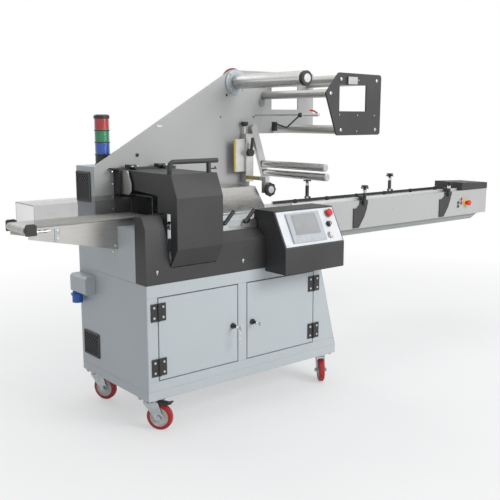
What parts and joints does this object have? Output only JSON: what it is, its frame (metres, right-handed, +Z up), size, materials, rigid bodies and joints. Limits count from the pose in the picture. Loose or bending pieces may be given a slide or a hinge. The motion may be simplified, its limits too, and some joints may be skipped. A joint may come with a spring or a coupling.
{
  "type": "horizontal flow wrapper",
  "caption": "Horizontal flow wrapper on castors with an outfeed belt, hinged jaw cover, film stand, operator panel and lug chain infeed table.",
  "frame": {"origin": "floor, under the centre of the whole machine's length and depth", "axes": "+X against the product's travel, towards the infeed table; +Y from the operator's side to the rear; +Z up"},
  "size_m": [3.395, 0.792, 1.7],
  "materials": {
    "grey_paint": "fine textured light grey powder coat",
    "black_paint": "textured black powder coat",
    "stainless": "brushed stainless sheet",
    "steel": "bright ground or plated steel",
    "zinc": "zinc plated pressed steel",
    "black_plastic": "moulded black plastic",
    "belt": "off-white conveyor belt",
    "guard": "clear smoked acrylic",
    "wheel": "red polyurethane tyre on an off-white hub",
    "blue_plastic": "blue moulded plastic",
    "red_plastic": "red moulded plastic",
    "lamp": "coloured lamp lenses, blue, green and red",
    "panel": "pale lacquered sheet",
    "screen": "touch screen in a grey bezel",
    "brake": "dark red brake drum"
  },
  "bodies": {
    "frame": {"base_frame": "grey_paint", "cabinet_ends": "grey_paint", "cabinet_back": "grey_paint", "front_rails": "grey_paint", "front_posts": "grey_paint", "hinge_frame_leaves": "black_plastic", "fan_grilles": "black_plastic", "inlet_box": "grey_paint", "power_inlet": "blue_plastic", "castor_plates": "zinc", "machine_bed": "grey_paint", "front_fascia": "black_paint", "electrical_box": "grey_paint", "signal_tower": "black_plastic", "signal_lamps": "lamp", "jaw_housing": "black_paint", "jaw_bracket": "stainless", "sealing_jaws": "steel", "outfeed_belt": "belt", "outfeed_frame": "stainless", "outfeed_guard": "guard", "film_stand_plate": "grey_paint", "front_frame_plate": "black_paint", "tie_tubes": "grey_paint", "reel_bearing": "grey_paint", "idler_arm": "grey_paint", "film_sensor": "steel", "forming_slide": "stainless", "knobs_and_grips": "black_plastic", "forming_box": "stainless", "fin_seal_unit": "stainless", "control_box": "black_paint", "control_panel": "panel", "touch_screen": "screen", "stop_buttons": "red_plastic", "panel_buttons": "black_plastic", "table_panels": "grey_paint", "table_deck": "stainless", "table_channel": "grey_paint", "table_end_cover": "black_paint", "product_lugs": "black_plastic", "side_guides": "black_plastic", "support_brackets": "black_paint"},
    "left_door_leaf": {"left_door": "grey_paint", "left_door_fittings": "black_plastic"},
    "right_door_leaf": {"right_door": "grey_paint", "right_door_fittings": "black_plastic"},
    "hood": {"jaw_cover": "black_paint"},
    "reel": {"reel_shaft": "steel", "brake_drum": "brake"},
    "upper_roller": {"upper_idler": "stainless"},
    "lower_roller": {"lower_idler": "stainless"},
    "swivel_front_left": {"castor_fork_front_left": "zinc"},
    "wheel_front_left": {"castor_wheel_front_left": "wheel"},
    "swivel_rear_left": {"castor_fork_rear_left": "zinc"},
    "wheel_rear_left": {"castor_wheel_rear_left": "wheel"},
    "swivel_front_right": {"castor_fork_front_right": "zinc"},
    "wheel_front_right": {"castor_wheel_front_right": "wheel"},
    "swivel_rear_right": {"castor_fork_rear_right": "zinc"},
    "wheel_rear_right": {"castor_wheel_rear_right": "wheel"}
  },
  "joints": [
    {"name": "left_door_hinge", "type": "hinge", "parent": "frame", "child": "left_door_leaf", "pos_m": [-1.188, -0.249, 0.442], "axis": [0, 0, -1], "range_deg": [0, 110]},
    {"name": "right_door_hinge", "type": "hinge", "parent": "frame", "child": "right_door_leaf", "pos_m": [-0.218, -0.249, 0.442], "axis": [0, 0, 1], "range_deg": [0, 110]},
    {"name": "hood_hinge", "type": "hinge", "parent": "frame", "child": "hood", "pos_m": [-0.9895, 0.149, 1.204], "axis": [-1, 0, 0], "range_deg": [0, 70]},
    {"name": "reel_turn", "type": "hinge", "parent": "frame", "child": "reel", "pos_m": [-0.3865, -0.043, 1.625], "axis": [0, 1, 0], "continuous": true},
    {"name": "upper_idler_turn", "type": "hinge", "parent": "frame", "child": "upper_roller", "pos_m": [-0.2115, -0.043, 1.183], "axis": [0, 1, 0], "continuous": true},
    {"name": "lower_idler_turn", "type": "hinge", "parent": "frame", "child": "lower_roller", "pos_m": [-0.1995, -0.043, 1.134], "axis": [0, 1, 0], "continuous": true},
    {"name": "swivel_turn_front_left", "type": "hinge", "parent": "frame", "child": "swivel_front_left", "pos_m": [-1.1925, -0.181, 0.14], "axis": [0, 0, 1], "continuous": true},
    {"name": "wheel_turn_front_left", "type": "hinge", "parent": "swivel_front_left", "child": "wheel_front_left", "pos_m": [-1.16963, -0.21135, 0.0625], "axis": [0.7986, 0.6018, 0], "continuous": true},
    {"name": "swivel_turn_rear_left", "type": "hinge", "parent": "frame", "child": "swivel_rear_left", "pos_m": [-1.1925, 0.334, 0.14], "axis": [0, 0, 1], "continuous": true},
    {"name": "wheel_turn_rear_left", "type": "hinge", "parent": "swivel_rear_left", "child": "wheel_rear_left", "pos_m": [-1.17525, 0.30014, 0.0625], "axis": [0.891, 0.454, 0], "continuous": true},
    {"name": "swivel_turn_front_right", "type": "hinge", "parent": "frame", "child": "swivel_front_right", "pos_m": [-0.0995, -0.181, 0.14], "axis": [0, 0, 1], "continuous": true},
    {"name": "wheel_turn_front_right", "type": "hinge", "parent": "swivel_front_right", "child": "wheel_front_right", "pos_m": [-0.12184, -0.21174, 0.0625], "axis": [0.809, -0.5878, 0], "continuous": true},
    {"name": "swivel_turn_rear_right", "type": "hinge", "parent": "frame", "child": "swivel_rear_right", "pos_m": [-0.0995, 0.334, 0.14], "axis": [0, 0, 1], "continuous": true},
    {"name": "wheel_turn_rear_right", "type": "hinge", "parent": "swivel_rear_right", "child": "wheel_rear_right", "pos_m": [-0.11616, 0.29985, 0.0625], "axis": [0.8988, -0.4384, 0], "continuous": true}
  ]
}
